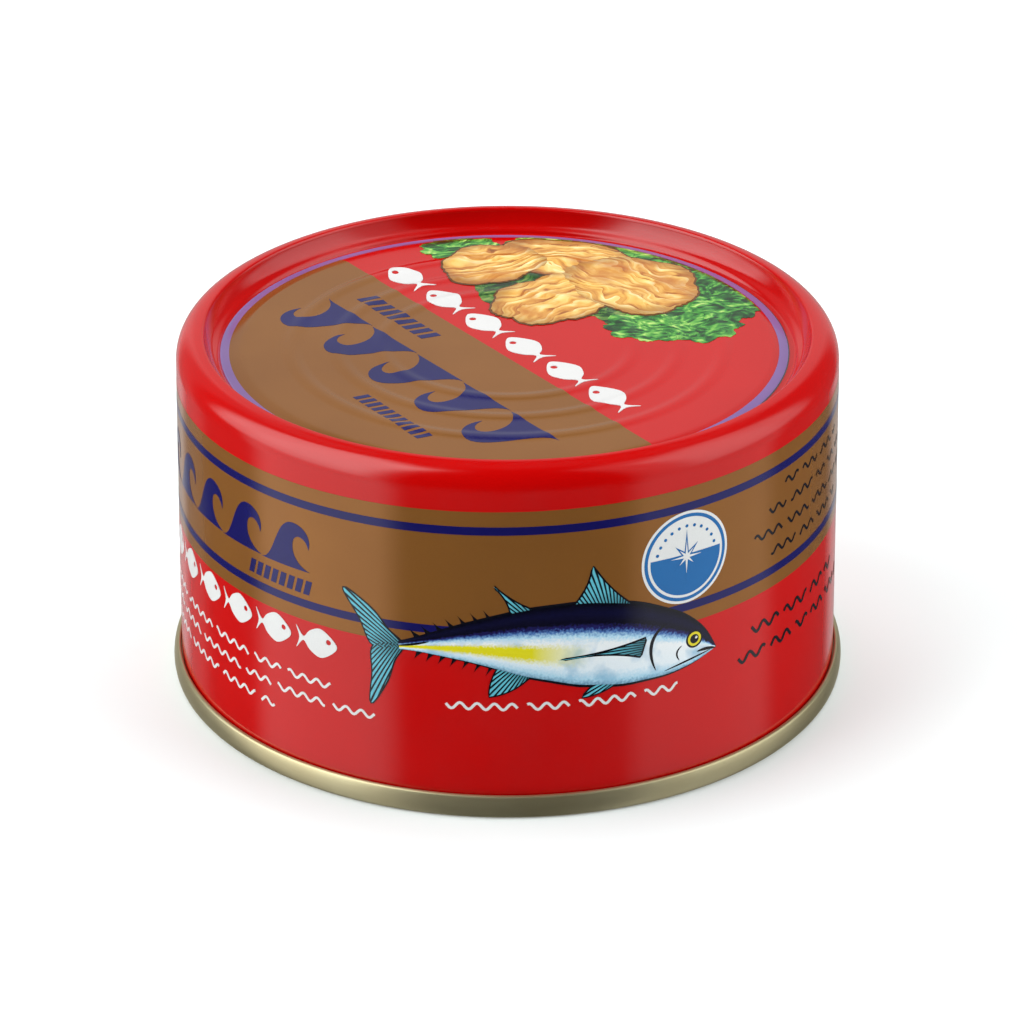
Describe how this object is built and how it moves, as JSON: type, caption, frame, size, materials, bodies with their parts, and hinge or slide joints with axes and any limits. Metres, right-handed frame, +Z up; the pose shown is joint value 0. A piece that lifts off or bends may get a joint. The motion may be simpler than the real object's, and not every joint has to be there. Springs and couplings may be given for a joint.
{
  "type": "tuna can",
  "caption": "Short round shut food tin: printed drawn body with a rounded shoulder and a recessed rippled top panel, on a gold lacquered double-seamed base.",
  "frame": {"origin": "middle of the base on the surface that the can stands on", "axes": "+Z up along the can's axis, -Y towards the side that faces the viewer, +X to that viewer's right"},
  "size_m": [0.0872, 0.0872, 0.0466],
  "materials": {
    "printed_tinplate": "gloss printed enamel on tinplate",
    "gold_lacquer": "satin gold lacquer on tinplate"
  },
  "bodies": {
    "root": {"can_body": "printed_tinplate", "seamed_end": "gold_lacquer"}
  },
  "joints": []
}
